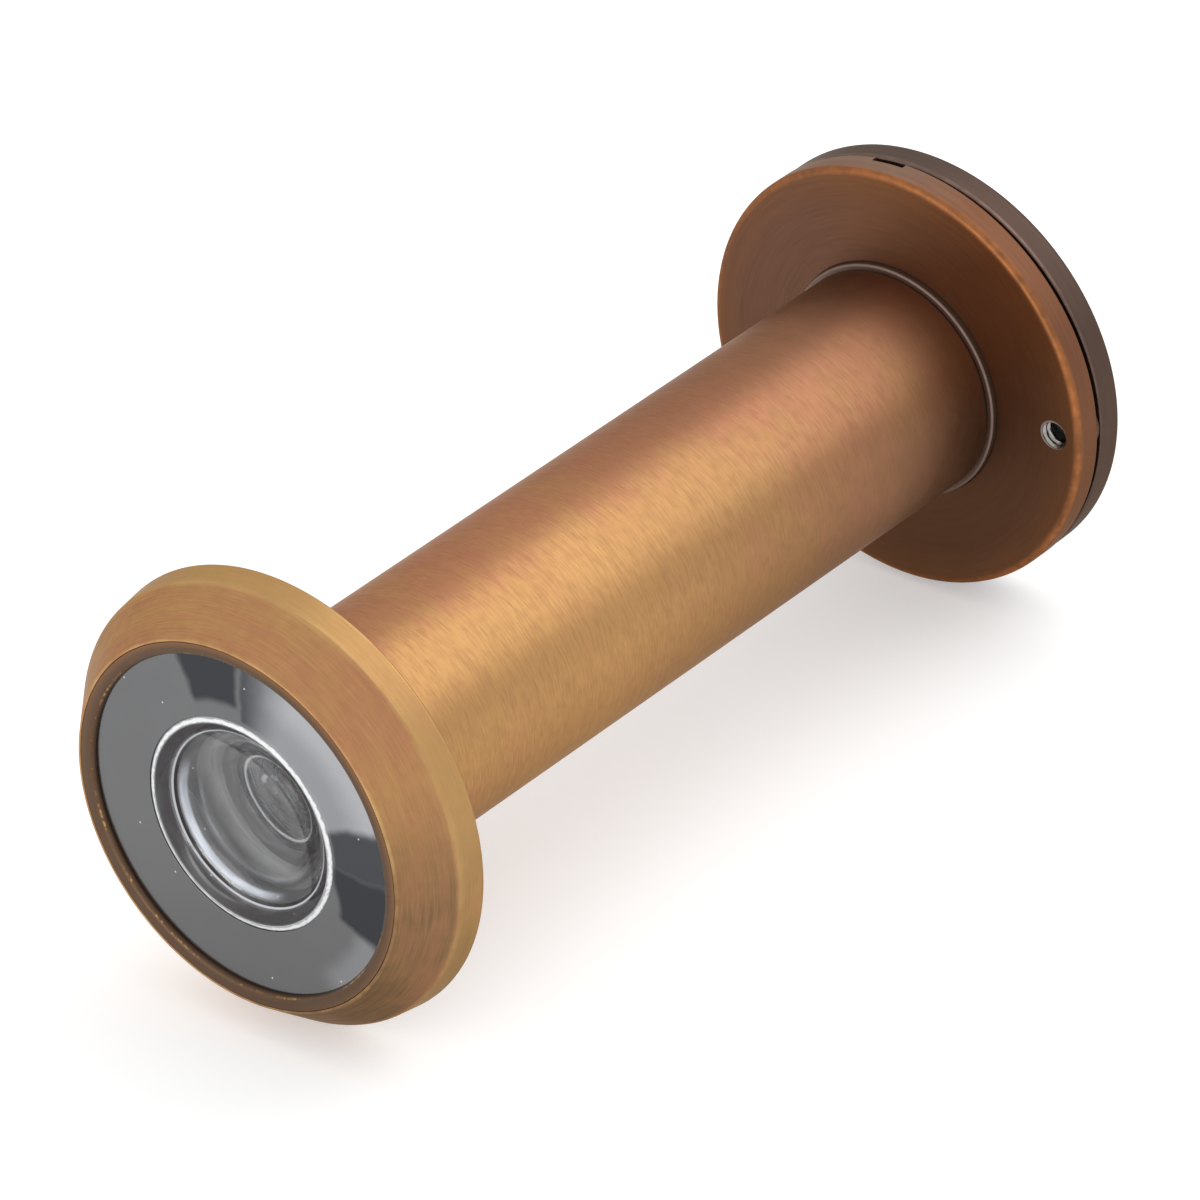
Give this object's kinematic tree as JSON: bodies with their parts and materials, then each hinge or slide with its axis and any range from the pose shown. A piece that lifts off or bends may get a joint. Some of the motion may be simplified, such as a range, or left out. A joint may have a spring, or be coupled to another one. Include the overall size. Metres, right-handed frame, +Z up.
{
  "type": "door viewer",
  "caption": "Telescoping door viewer with a conical bezel, a wide-angle lens train, a screw-in rear barrel with a coin-slotted flange, and a round cover that swings about an off-centre screw.",
  "frame": {"origin": "on the barrel's axis, in the plane where the bezel seats on the door's outside face", "axes": "+Y along the barrel from outside to the room, +X towards the cover's pivot, +Z up as fitted"},
  "size_m": [0.027, 0.0624, 0.027],
  "materials": {
    "brushed_brass": "brushed round the axis, antique copper-brass, clear lacquer",
    "dark_ring": "dark patina",
    "glass": "polished, ground edges",
    "polished_plate": "polished, grey",
    "black_cell": "black anodised",
    "dark_bronze": "dark bronze patina with worn bright edges",
    "cover_bronze": "dark grey-brown patina",
    "steel": "bright turned"
  },
  "bodies": {
    "front_barrel": {"front_barrel": "brushed_brass", "objective_ring": "dark_ring", "polished_plate": "polished_plate", "objective_lens": "glass", "lens_cell": "black_cell", "second_lens": "glass", "lens_spacer": "black_cell", "third_lens": "glass", "cell_ring": "black_cell"},
    "travelling_collar": {"collar_ring": "dark_bronze"},
    "rear_barrel": {"rear_barrel": "dark_bronze", "eyepiece_lens": "glass", "eyepiece_ring": "black_cell", "pivot_screw": "steel", "pivot_washer": "dark_bronze"},
    "cover": {"cover_disc": "cover_bronze", "spring_washer": "steel"}
  },
  "joints": [
    {"name": "barrel_travel", "type": "slide", "parent": "front_barrel", "child": "travelling_collar", "axis": [0, 1, 0], "range_m": [0, 0.02]},
    {"name": "barrel_turn", "type": "hinge", "parent": "travelling_collar", "child": "rear_barrel", "pos_m": [0, 0.0536, 0], "axis": [0, 1, 0], "range_deg": [0, 7200]},
    {"name": "cover_swing", "type": "hinge", "parent": "rear_barrel", "child": "cover", "pos_m": [0.01134, 0.0557, 0], "axis": [0, 1, 0], "continuous": true}
  ],
  "couplings": [
    {"joint": "barrel_travel", "follows": "barrel_turn", "m_per_rad": 0.00015915}
  ]
}
